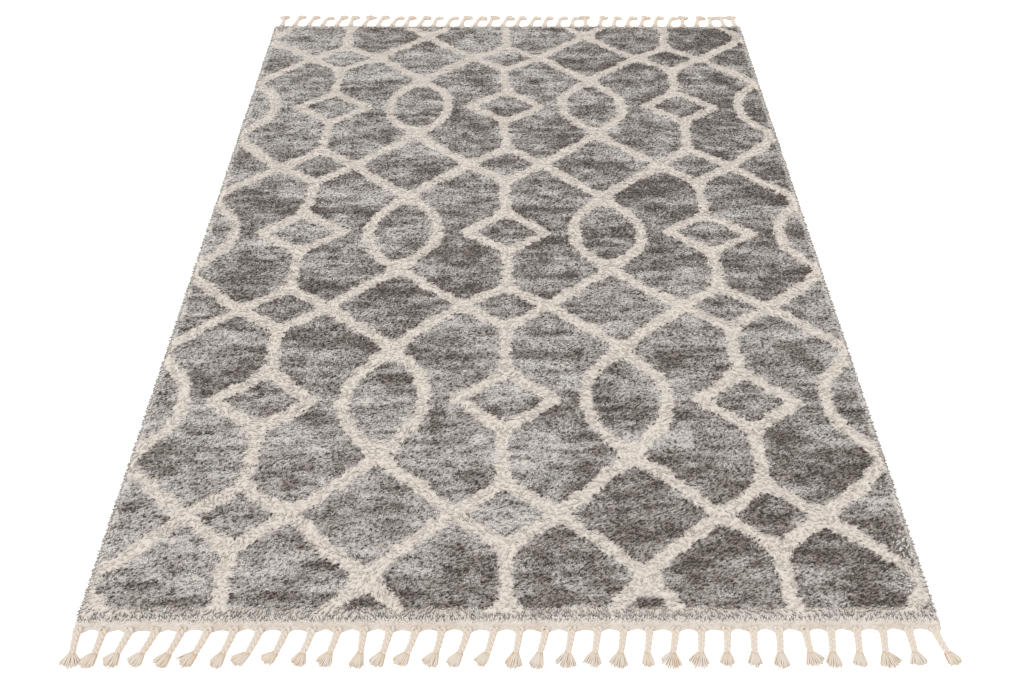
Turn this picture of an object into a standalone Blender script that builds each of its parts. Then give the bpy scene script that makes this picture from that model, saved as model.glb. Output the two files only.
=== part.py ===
"""Fringed shag rug lying flat: a lumpy pile slab and a strip of tassels along each short end.

Metres, +Z up. The origin is on the underside, at the centre of the pile. X runs across the
rug, Y along it, and the underside lies on Z = 0.
"""

from collections import namedtuple
from math import copysign, sin

import bmesh
import bpy
from mathutils import Vector, noise

# Pile slab: the overall size of the rug without its fringes
PILE_WIDTH = 1.600
PILE_LENGTH = 2.300
PILE_HEIGHT = 0.0205
PILE_COLUMNS = 30
PILE_ROWS = 44
CORNER_RADIUS = 0.012
SHOULDER_WIDTH = 0.016      # from the wall to the first row of full height
FOOT_HEIGHT = 0.006         # the wall is upright up to here
RIM_HEIGHT = 0.0145         # top of the wall along the sides and the front end
BACK_RIM_HEIGHT = 0.0100    # the pile leans to the front, so it thins out at the back end
RIM_INSET = 0.003           # the wall leans in by this much above its foot

# Lumps of the shag: long across the rug, short along it
LUMP_HEIGHT = 0.0045
LUMP_ACROSS = 0.170
LUMP_ALONG = 0.065
TUFT_SIZE = 0.031
TUFT_HEIGHT = 0.0020
RIM_UNEVENNESS = 0.0020

# Locks of pile that stick out of the wall
RIM_CUTS = 2                # points added to each cell's edge
LOCK_EVERY = 5              # wall faces from one lock to the next
LOCK_REACH = 0.0045
LOCK_DROOP = 0.0020
LOCK_TAPER = 0.35
HALF_WIDTH = PILE_WIDTH / 2.0 - LOCK_REACH      # the slab's wall stands this far out
HALF_LENGTH = PILE_LENGTH / 2.0 - LOCK_REACH

# Strip of warp ends in front of each short end, and the tassels knotted on it
PIECE_GAP = 0.0003
STRIP_DEPTH_AT_ROOT = 0.0235
STRIP_DEPTH_BETWEEN = 0.0140
STRIP_HEIGHT = 0.0035
TASSELS = 34
ROOT_PITCH = 0.0478
ROOT_HALF_WIDTH = 0.0055

# One tassel, measured outwards from the strip
BRAID_LENGTH = 0.046
BRAID_LUMPS = 5
BRAID_HALF_WIDTH = 0.0052
BRAID_HEIGHT = 0.0080
BRAID_RIDGE = 0.0009        # how far the plait's lumps stand out
HEAD_LENGTH = 0.031
BELLY_REACH = 0.014         # from the neck to where the head parts into two locks
NECK_HALF_WIDTH = 0.0042
BELLY_HALF_WIDTH = 0.0100
TIP_HALF_WIDTH = 0.0138
TIP_HEIGHT = 0.0045
TIP_GAP = 0.0030            # between the two locks at the end of the head
TIP_ROUNDING = 0.0045       # the outer corner of a lock ends this much before its inner one
TOP_NARROWING = 0.62        # a section's top is this share of its width on the ground
LEAN_POWER = 1.35           # a tassel starts square to the strip and turns more and more
LEAN_WOBBLE = 0.0045

Ring = namedtuple("Ring", "reach half_width height sway")
Odd = namedtuple("Odd", "root_shift lean")
Side = namedtuple("Side", "name outward first_root lean lean_change seed odd")

# Lean is the sideways offset of a tassel's head. It drifts by lean_change from one tassel to
# the next, and the few tassels that lie differently are listed by their place from the left
FRONT = Side("fringe_front", -1, -0.7920, -0.0205, 0.0004, 143, {
    0: Odd(0.0, 0.006),
    1: Odd(0.0, -0.004),
    11: Odd(0.0, -0.002),
    12: Odd(0.0, -0.013),
    28: Odd(0.0, 0.001),
    32: Odd(0.0, -0.001),
    33: Odd(0.0, 0.014),
})
BACK = Side("fringe_back", 1, -0.7820, 0.0140, 0.0, 47, {
    0: Odd(0.004, -0.001),
    5: Odd(0.0, 0.003),
    22: Odd(0.0, -0.002),
    29: Odd(0.0, 0.006),
    31: Odd(0.0, 0.006),
    32: Odd(-0.002, -0.003),
    33: Odd(-0.011, -0.004),
})


def remove_everything():
    for old in list(bpy.data.objects):
        bpy.data.objects.remove(old, do_unlink=True)


def make_material(name, colour, roughness):
    """A matt yarn: Principled BSDF with its colour in linear RGB."""
    material = bpy.data.materials.new(name)
    material.use_nodes = True
    shader = material.node_tree.nodes["Principled BSDF"]
    shader.inputs["Base Color"].default_value = (*colour, 1.0)
    shader.inputs["Roughness"].default_value = roughness
    shader.inputs["Metallic"].default_value = 0.0
    material.diffuse_color = (*colour, 1.0)
    return material


def make_object(name, bm, material, collection):
    bmesh.ops.recalc_face_normals(bm, faces=bm.faces[:])
    mesh = bpy.data.meshes.new(name)
    bm.to_mesh(mesh)
    bm.free()
    mesh.materials.append(material)
    made = bpy.data.objects.new(name, mesh)
    collection.objects.link(made)
    return made


def scatter(index, seed):
    """A fixed, uneven value from -1 to 1 for each whole number."""
    return 2.0 * ((sin(12.9898 * index + 78.233 * seed) * 43758.5453) % 1.0) - 1.0


def unevenness(x, y, across, along, seed):
    """Smooth noise of about -1 to 1 whose waves have these lengths along X and Y."""
    return noise.noise(Vector((x / across, y / along, 5.5 * seed)))


def pile_top(x, y):
    """Height of the shag: lumps stretched across the rug, in two sizes, and single tufts."""
    coarse = unevenness(x, y, LUMP_ACROSS, LUMP_ALONG, 1)
    fine = unevenness(x, y, LUMP_ACROSS / 2.3, LUMP_ALONG / 2.3, 2)
    tuft = unevenness(x, y, TUFT_SIZE, TUFT_SIZE, 3)
    return PILE_HEIGHT + LUMP_HEIGHT * (coarse + 0.5 * fine) + TUFT_HEIGHT * tuft


def spread(step, steps, half_size):
    """Place of a grid line: the first and last cells are as narrow as the shoulder."""
    if step in (0, steps):
        return half_size * (-1.0 if step == 0 else 1.0)
    flat = half_size - SHOULDER_WIDTH
    return -flat + 2.0 * flat * (step - 1) / (steps - 2)


def past_corner(place):
    """How far a place lies past the centre of the nearest corner's arc, along X and Y."""
    past_x = max(abs(place.x) - (HALF_WIDTH - CORNER_RADIUS), 0.0)
    past_y = max(abs(place.y) - (HALF_LENGTH - CORNER_RADIUS), 0.0)
    return Vector((copysign(past_x, place.x), copysign(past_y, place.y), 0.0))


def round_corner(place):
    """Pulls a place in the square of a corner back onto the corner's arc."""
    past = past_corner(place)
    if past.length > CORNER_RADIUS:
        place -= past - past.normalized() * CORNER_RADIUS


def rim_height(place):
    """Top of the wall, which is lower along the back end and uneven all round."""
    height = BACK_RIM_HEIGHT if place.y > HALF_LENGTH - CORNER_RADIUS else RIM_HEIGHT
    return height + RIM_UNEVENNESS * unevenness(place.x, place.y, TUFT_SIZE, TUFT_SIZE, 4)


def extrude_wall(bm, edges, height):
    """Draws a loop of edges down to a height and gives the new loop."""
    made = bmesh.ops.extrude_edge_only(bm, edges=edges)["geom"]
    for vert in (item for item in made if isinstance(item, bmesh.types.BMVert)):
        vert.co.z = height
    return [item for item in made
            if isinstance(item, bmesh.types.BMEdge) and item.is_boundary]


def way_round(face):
    """Where a face of the wall lies on the way round the rug, from 0 to 8."""
    centre = face.calc_center_median()
    across = centre.x / HALF_WIDTH
    along = centre.y / HALF_LENGTH
    if abs(along) > abs(across):
        return 1.0 + across if along < 0.0 else 5.0 - across
    return 3.0 + along if across > 0.0 else 7.0 - along


def add_rim_locks(bm, wall):
    """Draws every few faces of the wall out into a drooping, tapered lock."""
    for count, face in enumerate(sorted(wall, key=way_round)[::LOCK_EVERY]):
        centre = face.calc_center_median()
        outward = past_corner(centre).normalized()
        reach = RIM_INSET / 2.0 + LOCK_REACH * (0.8 + 0.2 * scatter(count, 3))
        lock = bmesh.ops.extrude_discrete_faces(bm, faces=[face])["faces"][0]
        for vert in lock.verts:
            vert.co = centre + LOCK_TAPER * (vert.co - centre) + reach * outward
            vert.co.z -= LOCK_DROOP


def build_pile(material, collection):
    """A grid with lumps, closed by an upright wall with locks and by a flat underside."""
    bm = bmesh.new()
    bmesh.ops.create_grid(bm, x_segments=PILE_COLUMNS, y_segments=PILE_ROWS, size=1.0)
    for vert in bm.verts:
        column = round((vert.co.x + 1.0) * PILE_COLUMNS / 2.0)
        row = round((vert.co.y + 1.0) * PILE_ROWS / 2.0)
        vert.co.x = spread(column, PILE_COLUMNS, HALF_WIDTH)
        vert.co.y = spread(row, PILE_ROWS, HALF_LENGTH)
        vert.co.z = pile_top(vert.co.x, vert.co.y)

    rim = [edge for edge in bm.edges if edge.is_boundary]
    bmesh.ops.subdivide_edges(bm, edges=rim, cuts=RIM_CUTS)
    rim = [edge for edge in bm.edges if edge.is_boundary]
    rim_points = {vert for edge in rim for vert in edge.verts}
    for vert in rim_points:
        round_corner(vert.co)
        vert.co.z = rim_height(vert.co)

    foot = extrude_wall(bm, rim, FOOT_HEIGHT)
    wall = [face for edge in foot for face in edge.link_faces]
    ground = extrude_wall(bm, foot, 0.0)
    bmesh.ops.contextual_create(bm, geom=ground)
    for vert in rim_points:
        vert.co -= RIM_INSET * past_corner(vert.co).normalized()
    add_rim_locks(bm, wall)
    return make_object("pile", bm, material, collection)


def tassel_rings():
    """Sections of a tassel: the lumps of its plait, then its head, which opens out."""
    rings = []
    for number in range(1, BRAID_LUMPS + 1):
        side = -1.0 if number % 2 else 1.0
        rings.append(Ring(BRAID_LENGTH * number / (BRAID_LUMPS + 1),
                          BRAID_HALF_WIDTH + 0.3 * side * BRAID_RIDGE,
                          BRAID_HEIGHT + 0.5 * side * BRAID_RIDGE,
                          side * BRAID_RIDGE))
    rings.append(Ring(BRAID_LENGTH, NECK_HALF_WIDTH, BRAID_HEIGHT, 0.0))
    rings.append(Ring(BRAID_LENGTH + BELLY_REACH, BELLY_HALF_WIDTH, BRAID_HEIGHT, 0.0))
    return rings


def tassel_root(side, index):
    """Place of a tassel along the strip."""
    shift = side.odd[index].root_shift if index in side.odd else 0.0
    return side.first_root + index * ROOT_PITCH + shift


def tassel_lean(side, index):
    """Sideways offset of the middle of a tassel's head from its root."""
    if index in side.odd:
        return side.odd[index].lean
    return side.lean + side.lean_change * index + LEAN_WOBBLE * scatter(index, side.seed)


def tassel_frame(root, lean, side, reach):
    """Middle of a tassel at a distance from the strip, and the direction across it there."""
    head_middle = BRAID_LENGTH + 0.5 * HEAD_LENGTH
    share = reach / head_middle
    middle = root + Vector((lean * share ** LEAN_POWER, side.outward * reach, 0.0))
    slope = lean * LEAN_POWER * share ** (LEAN_POWER - 1.0) / head_middle
    return middle, Vector((1.0, -slope * side.outward, 0.0)).normalized()


def grow_braid(bm, root_face, root, lean, side):
    """Draws a face of the strip out into a four-sided plait and gives its last section."""
    face = root_face
    for ring in tassel_rings():
        face = bmesh.ops.extrude_discrete_faces(bm, faces=[face])["faces"][0]
        middle, across = tassel_frame(root, lean, side, ring.reach)
        before = face.calc_center_median()
        for vert in face.verts:
            right = 1.0 if vert.co.x > before.x else -1.0
            on_top = vert.co.z > before.z
            width = ring.half_width * (TOP_NARROWING if on_top else 1.0)
            vert.co = middle + across * (right * width + (ring.sway if on_top else 0.0))
            vert.co.z = ring.height if on_top else 0.0
    return face


def part_head(bm, face, root, lean, side):
    """Halves the last section and draws each half out into a lock, clear of the other."""
    level = [edge for edge in face.edges
             if abs(edge.verts[0].co.z - edge.verts[1].co.z) < 0.0001]
    cut = bmesh.ops.subdivide_edges(bm, edges=level, cuts=1)["geom_inner"]
    parting = next(item for item in cut
                   if isinstance(item, bmesh.types.BMEdge) and len(item.link_faces) == 2
                   and abs(item.verts[0].co.z - item.verts[1].co.z) > 0.0001)
    middle, across = tassel_frame(root, lean, side, BRAID_LENGTH + HEAD_LENGTH)
    for half in list(parting.link_faces):
        lock = bmesh.ops.extrude_discrete_faces(bm, faces=[half])["faces"][0]
        centre = lock.calc_center_median()
        right = copysign(1.0, (centre - parting.verts[0].co).dot(across))
        for vert in lock.verts:
            outer = (vert.co - centre).dot(across) * right > 0.0
            on_top = vert.co.z > centre.z
            width = TIP_HALF_WIDTH if outer else TIP_GAP / 2.0
            vert.co = middle + across * right * width
            vert.co.y -= side.outward * (TIP_ROUNDING if outer else 0.0)
            vert.co.z = TIP_HEIGHT if on_top else 0.0


def strip_x(side, line):
    """Place of a strip's grid line: its left end, then each root's two sides and the gap."""
    if line == 0:
        return -PILE_WIDTH / 2.0
    tassel, part = divmod(line - 1, 3)
    root = tassel_root(side, tassel)
    if part < 2:
        return root + (-ROOT_HALF_WIDTH if part == 0 else ROOT_HALF_WIDTH)
    if tassel == TASSELS - 1:
        return PILE_WIDTH / 2.0
    return (root + tassel_root(side, tassel + 1)) / 2.0


def build_fringe(side, material, collection):
    """A low strip with a scalloped edge, and a tassel drawn out of it at each root."""
    inner = HALF_LENGTH + PIECE_GAP
    cells = 3 * TASSELS
    bm = bmesh.new()
    bmesh.ops.create_grid(bm, x_segments=cells, y_segments=1, size=1.0)
    for vert in bm.verts:
        line = round((vert.co.x + 1.0) * cells / 2.0)
        depth = STRIP_DEPTH_BETWEEN if line % 3 == 0 else STRIP_DEPTH_AT_ROOT
        depth = depth if vert.co.y > 0.0 else 0.0
        vert.co = Vector((strip_x(side, line), side.outward * (inner + depth), 0.0))
    risen = bmesh.ops.extrude_face_region(bm, geom=bm.faces[:])["geom"]
    for vert in (item for item in risen if isinstance(item, bmesh.types.BMVert)):
        vert.co.z = STRIP_HEIGHT

    edge_y = side.outward * (inner + STRIP_DEPTH_AT_ROOT)
    outer = [face for face in bm.faces
             if all(abs(vert.co.y - edge_y) < 0.0001 for vert in face.verts)]
    outer.sort(key=lambda face: face.calc_center_median().x)
    for index, face in enumerate(outer):
        root = Vector((tassel_root(side, index), edge_y, 0.0))
        lean = tassel_lean(side, index)
        section = grow_braid(bm, face, root, lean, side)
        part_head(bm, section, root, lean, side)
    return make_object(side.name, bm, material, collection)


def main():
    remove_everything()
    collection = bpy.data.collections.new("fringed_rug")
    bpy.context.scene.collection.children.link(collection)
    pile_yarn = make_material("pile_yarn", (0.36, 0.34, 0.33), 0.95)
    fringe_cotton = make_material("fringe_cotton", (0.80, 0.69, 0.56), 0.90)
    build_pile(pile_yarn, collection)
    for side in (FRONT, BACK):
        build_fringe(side, fringe_cotton, collection)


main()
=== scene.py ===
# %% [markdown]
# A fringed shag rug, made in code. The rug lies flat on the floor: a woven ground, thick yarn
# knotted into it in two colours, and a row of plaited tassels along each short end. The frame
# is loaded first, because it holds the rug's real size, and everything below is worked out
# from it. X runs across the rug, Y along it, and the floor is at Z = 0.

# %% Load the frame
import bpy
import numpy as np
from mathutils import Matrix, Vector


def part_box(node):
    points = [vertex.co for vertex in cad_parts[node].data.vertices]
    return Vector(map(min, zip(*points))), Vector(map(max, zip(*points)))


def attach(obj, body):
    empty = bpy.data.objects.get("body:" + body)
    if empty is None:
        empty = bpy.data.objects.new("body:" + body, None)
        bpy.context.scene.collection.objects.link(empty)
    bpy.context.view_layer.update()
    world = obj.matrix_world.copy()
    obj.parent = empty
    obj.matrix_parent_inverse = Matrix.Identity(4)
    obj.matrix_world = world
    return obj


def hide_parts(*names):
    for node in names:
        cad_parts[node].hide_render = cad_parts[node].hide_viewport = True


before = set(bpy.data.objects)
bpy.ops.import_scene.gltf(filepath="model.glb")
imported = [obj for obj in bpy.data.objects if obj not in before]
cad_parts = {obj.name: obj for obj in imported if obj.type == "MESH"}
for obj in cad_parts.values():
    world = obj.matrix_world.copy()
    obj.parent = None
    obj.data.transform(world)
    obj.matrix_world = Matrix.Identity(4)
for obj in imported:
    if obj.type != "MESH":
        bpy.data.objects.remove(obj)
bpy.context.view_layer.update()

strip_low, strip_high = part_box("fringe_back")
RUG_HALF_WIDTH = round(float(strip_high[0]), 4)      # to the strips' ends, at the sides
STRIP_INNER = round(float(strip_low[1]), 4)          # from the middle to where a strip starts
print("half width:", RUG_HALF_WIDTH, "strips start at:", STRIP_INNER)

# %% [markdown]
# First the camera. The photograph was taken by someone standing at the front end of the rug,
# looking down at it. The rug's own outline gives the lens and the place: the two long sides
# run together at the rate that a 37 mm lens shows from eye height. We build the camera's
# matrix from its turn, pitch and roll, because that is how a photographer would describe it.

# %% Camera
CAMERA_PLACE = Vector((-0.001, -2.192, 1.723))
CAMERA_LENS = 36.82                # millimetres
CAMERA_SENSOR = 36.0               # millimetres wide
CAMERA_NEAREST = 0.05              # nothing closer than this is drawn
CAMERA_PITCH = np.radians(43.84)   # down from level
CAMERA_TURN = np.radians(-0.33)
CAMERA_ROLL = np.radians(0.21)


def camera_matrix(place, turn, pitch, roll):
    """The turn about Z, then the tilt from straight down, then the roll about the view line."""
    spin = Matrix.Rotation(turn, 4, "Z")
    tilt = Matrix.Rotation(np.pi / 2.0 - pitch, 4, "X")
    lean = Matrix.Rotation(roll, 4, "Z")
    return Matrix.Translation(place) @ spin @ tilt @ lean


camera_data = bpy.data.cameras.new("camera")
camera_data.lens = CAMERA_LENS
camera_data.sensor_width = CAMERA_SENSOR
camera_data.clip_start = CAMERA_NEAREST
camera = bpy.data.objects.new("camera", camera_data)
camera.matrix_world = camera_matrix(CAMERA_PLACE, CAMERA_TURN, CAMERA_PITCH, CAMERA_ROLL)
bpy.context.scene.collection.objects.link(camera)
bpy.context.scene.camera = camera
print("camera at", tuple(round(v, 3) for v in CAMERA_PLACE))

# %% [markdown]
# Colours are easier to pick as the hex values of a paint program, but the renderer counts in
# linear light. One small function converts them, and every colour below goes through it. A
# second small function adds a shader node, sets its values and joins its inputs, so that a
# material reads as a short list of steps.

# %% Colours and nodes
def linear(hex_colour):
    """Each sRGB channel to linear light: divided by 12.92 when dark, a 2.4 power above that."""
    channels = np.array([int(hex_colour[i:i + 2], 16) for i in (1, 3, 5)]) / 255.0
    bright = ((channels + 0.055) / 1.055) ** 2.4
    return (*np.where(channels <= 0.04045, channels / 12.92, bright).tolist(), 1.0)


def add_node(tree, kind, values=None, links=None, **settings):
    """Adds a node; values are set by input name or number, links join outputs to inputs."""
    node = tree.nodes.new(kind)
    for name, value in settings.items():
        setattr(node, name, value)
    for key, value in (values or {}).items():
        node.inputs[key].default_value = value
    for key, output in (links or {}).items():
        tree.links.new(output, node.inputs[key])
    return node


def new_material(name, **shader_values):
    """A material with one Principled shader, whose plain values are set on its own sockets."""
    material = bpy.data.materials.new(name)
    material.use_nodes = True
    shader = material.node_tree.nodes["Principled BSDF"]
    for key, value in shader_values.items():
        shader.inputs[key.replace("_", " ")].default_value = value
    return material, material.node_tree, shader


# %% [markdown]
# Every new piece is a mesh made from numpy arrays. One function turns points and faces into
# an object, and gives it smooth shading and any values that its yarn carries, such as each
# tuft's dye, into which painted light and shade are mixed. It also hides the part of the
# frame that the piece stands for.

# %% Arrays to meshes
def make_piece(name, points, faces, material, node, values=None):
    """Points (n, 3) and faces (m, 3 or 4) to a smooth mesh that rides on the rug."""
    mesh = bpy.data.meshes.new(name)
    corners = faces.shape[1]
    mesh.vertices.add(len(points))
    mesh.vertices.foreach_set("co", np.ascontiguousarray(points, np.float32).ravel())
    mesh.loops.add(faces.size)
    mesh.loops.foreach_set("vertex_index", np.ascontiguousarray(faces, np.int32).ravel())
    mesh.polygons.add(len(faces))
    mesh.polygons.foreach_set("loop_start", np.arange(0, faces.size, corners, dtype=np.int32))
    mesh.update(calc_edges=True)
    mesh.shade_smooth()
    for key, numbers in (values or {}).items():
        attribute = mesh.attributes.new(key, "FLOAT", "POINT")
        attribute.data.foreach_set("value", np.ascontiguousarray(numbers, np.float32))
    mesh.materials.append(material)
    piece = bpy.data.objects.new(name, mesh)
    bpy.context.scene.collection.objects.link(piece)
    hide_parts(node)
    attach(piece, "root")
    print(f"{name}: {faces.size - 2 * len(faces)} triangles")
    return piece


# %% [markdown]
# Hand-dyed yarn and hand-thick pile are uneven in soft patches. Value noise gives that: random
# numbers on a grid, blended smoothly in between. Its patches can be stretched, which we need
# often, because the rug was woven across and its streaks run along X. Most things on the rug
# are uneven at two sizes at once, so a second function adds up several such noises.

# %% Soft noise
NOISE_TABLE = (97, 89)             # random values across and along, before they repeat


def soft_noise(x, y, across, along, seed):
    """Random values from -1 to 1 at grid points, blended by 3t^2 - 2t^3 in between."""
    columns, rows = NOISE_TABLE
    table = np.random.default_rng(seed).uniform(-1.0, 1.0, NOISE_TABLE)
    step_x, step_y = x / across, y / along
    cell_x, cell_y = np.floor(step_x).astype(int), np.floor(step_y).astype(int)
    part_x, part_y = step_x - cell_x, step_y - cell_y
    blend_x = part_x * part_x * (3.0 - 2.0 * part_x)
    blend_y = part_y * part_y * (3.0 - 2.0 * part_y)
    corner = [[table[(cell_x + i) % columns, (cell_y + j) % rows] for j in (0, 1)]
              for i in (0, 1)]
    near = corner[0][0] * (1.0 - blend_x) + corner[1][0] * blend_x
    far = corner[0][1] * (1.0 - blend_x) + corner[1][1] * blend_x
    return near * (1.0 - blend_y) + far * blend_y


def layered_noise(x, y, layers):
    """Soft noises added up. A layer has its height, its patch's two sizes in metres, and a seed."""
    return sum(height * soft_noise(x, y, across, along, seed)
               for height, across, along, seed in layers)


# %% [markdown]
# The trellis is a common Berber lattice. It repeats every 536 mm across and 610 mm along the
# rug, and each repeat is the same left to right and front to back, so one quarter of it is
# enough. In that quarter there are six lines: the side of a rounded oval, a short line that
# fills the oval's pointed end, the sides of a large and a small lozenge, a short bar, and the
# side of a small diamond. A tuft is cream if it stands within half a line's width of one of
# them. A formula like this needs no picture of the pattern, and it stays sharp at any size.

# %% The trellis as a distance
REPEAT_ACROSS = 0.5364
REPEAT_ALONG = 0.6103
CENTRE = (-0.006, 0.002)           # the middle of one small diamond
OVAL_HALF = (0.090, 0.158)         # half its width and half its height
OVAL_TAPER = 1.5                   # how steeply its ends run together
OVAL_SHARPNESS = 6.0               # how quickly its straight side turns into its end
OVAL_LEAST_GAP = 0.03              # keeps the formula finite at the very point
OVAL_FILL = 0.028                  # how far its ends are filled with cream
LOZENGE_REACH = 0.106              # the small lozenge's half width
LOZENGE_DROP = 0.078               # and its half height
DIAMOND_REACH = 0.108
DIAMOND_DROP = 0.084
LINE_HALF_WIDTH = 0.0144
FILLET = 0.0075                    # rounds the corners where lines meet


def to_segment(u, v, start, end):
    """Distance to a straight line's piece: to the nearest of its points, ends included."""
    run = np.subtract(end, start)
    share = ((u - start[0]) * run[0] + (v - start[1]) * run[1]) / (run @ run)
    share = np.clip(share, 0.0, 1.0)
    return np.hypot(u - start[0] - share * run[0], v - start[1] - share * run[1])


def to_oval(u, v):
    """Distance to the oval's side: the gap across it, divided by the length of its slope.

    The side is straight in the middle and runs to a point at each end. The two lines are
    blended by a soft minimum, (1 + g^-n)^(-1/n), where g falls from the middle to the point
    and n is the sharpness.
    """
    half_u, half_v = OVAL_HALF
    n = OVAL_SHARPNESS
    g = np.maximum(OVAL_TAPER * (1.0 - v / half_v), OVAL_LEAST_GAP)
    blend = (1.0 + g ** -n) ** (-1.0 / n)
    slope = half_u * blend ** (n + 1.0) * g ** -(n + 1.0) * OVAL_TAPER / half_v
    gap = (u - half_u * blend) / np.hypot(1.0, slope)
    return np.hypot(gap, np.maximum(v - half_v, 0.0))


def trellis_distance(x, y):
    """Distance to the nearest line's middle, after folding the repeat onto its quarter.

    The nearest is a soft minimum, -f ln(sum of e^(-distance/f)), so corners are filled by f.
    """
    half_x, half_y = REPEAT_ACROSS / 2.0, REPEAT_ALONG / 2.0
    u = half_x - np.abs((x - CENTRE[0] + half_x) % REPEAT_ACROSS - half_x)
    v = np.abs((y - CENTRE[1] + half_y) % REPEAT_ALONG - half_y)
    top, bottom = half_y - LOZENGE_DROP, DIAMOND_DROP
    crossing = (half_x - LOZENGE_REACH, half_y)
    lines = np.stack([
        to_oval(u, v),
        to_segment(u, v, (0.0, OVAL_HALF[1] - OVAL_FILL), (0.0, OVAL_HALF[1])),
        to_segment(u, v, (0.0, OVAL_HALF[1]), crossing),
        to_segment(u, v, crossing, (half_x, top)),
        to_segment(u, v, (half_x, top), (half_x, bottom)),
        to_segment(u, v, (half_x, bottom), (half_x - DIAMOND_REACH, 0.0)),
    ])
    return -FILLET * np.log(np.exp(-lines / FILLET).sum(axis=0))


in_diamond = float(trellis_distance(*CENTRE))
print("from a small diamond's middle to its side, mm:", round(in_diamond * 1000.0, 1))

# %% [markdown]
# On a loom no line comes out quite straight: the weaver beats the rows in unevenly, the cloth
# draws in, and each knot stands a little off its place. Instead of bending the lines, we bend
# the place that is asked about, which keeps the formula above as simple as it is.

# %% The lines as they were woven
ROW_BOW = 0.024                    # the rows bow by this at 1 m from the middle
BOW_SHIFT = 0.005
BEAT_SWING = 0.007                 # rows beaten in closer and wider, in turn
BEAT_LENGTH = 1.05
BEAT_START = 0.42
DRAW_IN = 0.018                    # how much narrower the back of the rug is woven
DRAW_IN_START, DRAW_IN_RUN = 0.3, 0.6
SWAY_ACROSS = ((0.006, 0.12, 0.10, 11), (0.006, 0.05, 0.007, 12))
SWAY_ALONG = ((0.005, 0.11, 0.11, 13), (0.004, 0.026, 0.022, 14))


def creaminess(x, y, jitter=0.0):
    """True where a tuft is cream. The weave isn't quite square, and its lines sway a little.

    Its rows bow towards the back in the middle, as the square of x, they were beaten in
    unevenly, as a slow cosine along Y, and the rug draws in by 2% at its back end.
    """
    beat = np.cos(2.0 * np.pi * (y + BEAT_START) / BEAT_LENGTH)
    bow = BOW_SHIFT - ROW_BOW * x ** 2 + BEAT_SWING * beat
    drawn = 1.0 + DRAW_IN * np.clip((y - DRAW_IN_START) / DRAW_IN_RUN, 0.0, 1.0)
    x, y = x * drawn, y - bow
    sway_x = layered_noise(x, y, SWAY_ACROSS)
    sway_y = layered_noise(x, y, SWAY_ALONG)
    return trellis_distance(x + sway_x, y + sway_y) < LINE_HALF_WIDTH + jitter


spots = np.random.default_rng(7).uniform(-1.0, 1.0, (2, 20000))    # only to measure fields
spot_x, spot_y = spots[0] * RUG_HALF_WIDTH, spots[1] * STRIP_INNER
print("cream share:", round(float(creaminess(spot_x, spot_y).mean()), 3))

# %% [markdown]
# The surface of the shag isn't level. Rows of tufts lean on each other and leave low furrows
# that run across the rug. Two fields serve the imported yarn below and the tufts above: how high
# the pile is, and which way it leans. A field is a formula over the whole rug, so pieces that
# are made apart still agree with each other.

# %% Height and lean
LOCK_REACH = 0.0045                # how far the tufts hang out past the wall of packed yarn
PIECE_GAP = 0.0003                 # between that wall and a strip
HALF_WIDTH = round(RUG_HALF_WIDTH - LOCK_REACH, 4)
HALF_LENGTH = round(STRIP_INNER - PIECE_GAP, 4)
BED_HEIGHT = 0.0170                # packed yarn, below the loose tuft ends
SHOULDER = 0.016                   # width of the rounded edge
BACK_SLOPE = 0.045                 # width of the lower stretch along the back end
BACK_DROP = 0.004
BED_LUMPS = ((0.0016, 0.16, 0.06, 21), (0.0010, 0.05, 0.028, 22))
BED_FURROWS = ((0.0013, 0.11, 0.014, 23),)


def edge_distance(x, y):
    """How far a place lies inside the rug's outline: the smaller of its two distances."""
    return np.minimum(HALF_WIDTH - np.abs(x), HALF_LENGTH - np.abs(y))


def bed_height(x, y):
    """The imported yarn: wide lumps, narrow furrows, and a shoulder that rounds off its edge.

    The shoulder is a quarter circle over its width, from half the height to the full height.
    """
    lumps = layered_noise(x, y, BED_LUMPS)
    furrows = layered_noise(x, y, BED_FURROWS)
    inside = np.clip(edge_distance(x, y) / SHOULDER, 0.0, 1.0)
    back = np.clip((y - HALF_LENGTH + BACK_SLOPE) / BACK_SLOPE, 0.0, 1.0)
    rounded = np.sqrt(np.clip(1.0 - (1.0 - inside) ** 2, 0.0, 1.0))
    return (BED_HEIGHT + lumps + furrows) * (0.5 + 0.5 * rounded) - BACK_DROP * back ** 2


def lean_field(x, y):
    """The way the pile lies: mostly left or right in long patches, and a little to the front.

    Sideways it is the hyperbolic tangent of a noise, which makes most of it nearly all left or
    all right, and the two parts are then divided by their length.
    """
    sideways = np.tanh(2.6 * soft_noise(x, y, 0.085, 0.040, 31) + 0.25)
    forward = -0.30 + 0.55 * soft_noise(x, y, 0.060, 0.030, 32)
    length = np.hypot(sideways, forward) + 1e-6
    return sideways / length, forward / length


heights = bed_height(spot_x, spot_y) * 1000.0
print("packed yarn's height, mm:", np.round(np.percentile(heights, (5, 50, 95)), 1))

# %% [markdown]
# Undyed wool differs from fleece to fleece, so each stretch of a row has its own grey. These
# streaks run across the rug, since a row was knotted with one length of yarn, and clouds and
# a slow drift lie over them. Thin dark lines of painted shade lie in the furrows. The light
# fell unevenly too, and that painted light is part of the drift.

# %% Dye, painted shade and painted light
STREAKS = ((0.60, 0.032, 0.014, 41), (0.35, 0.12, 0.012, 42))
CLOUDS = ((0.50, 0.075, 0.045, 43), (0.35, 0.40, 0.08, 44))
LIGHT_BAND_PLACE, LIGHT_BAND_WIDTH = -0.48, 0.22


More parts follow.
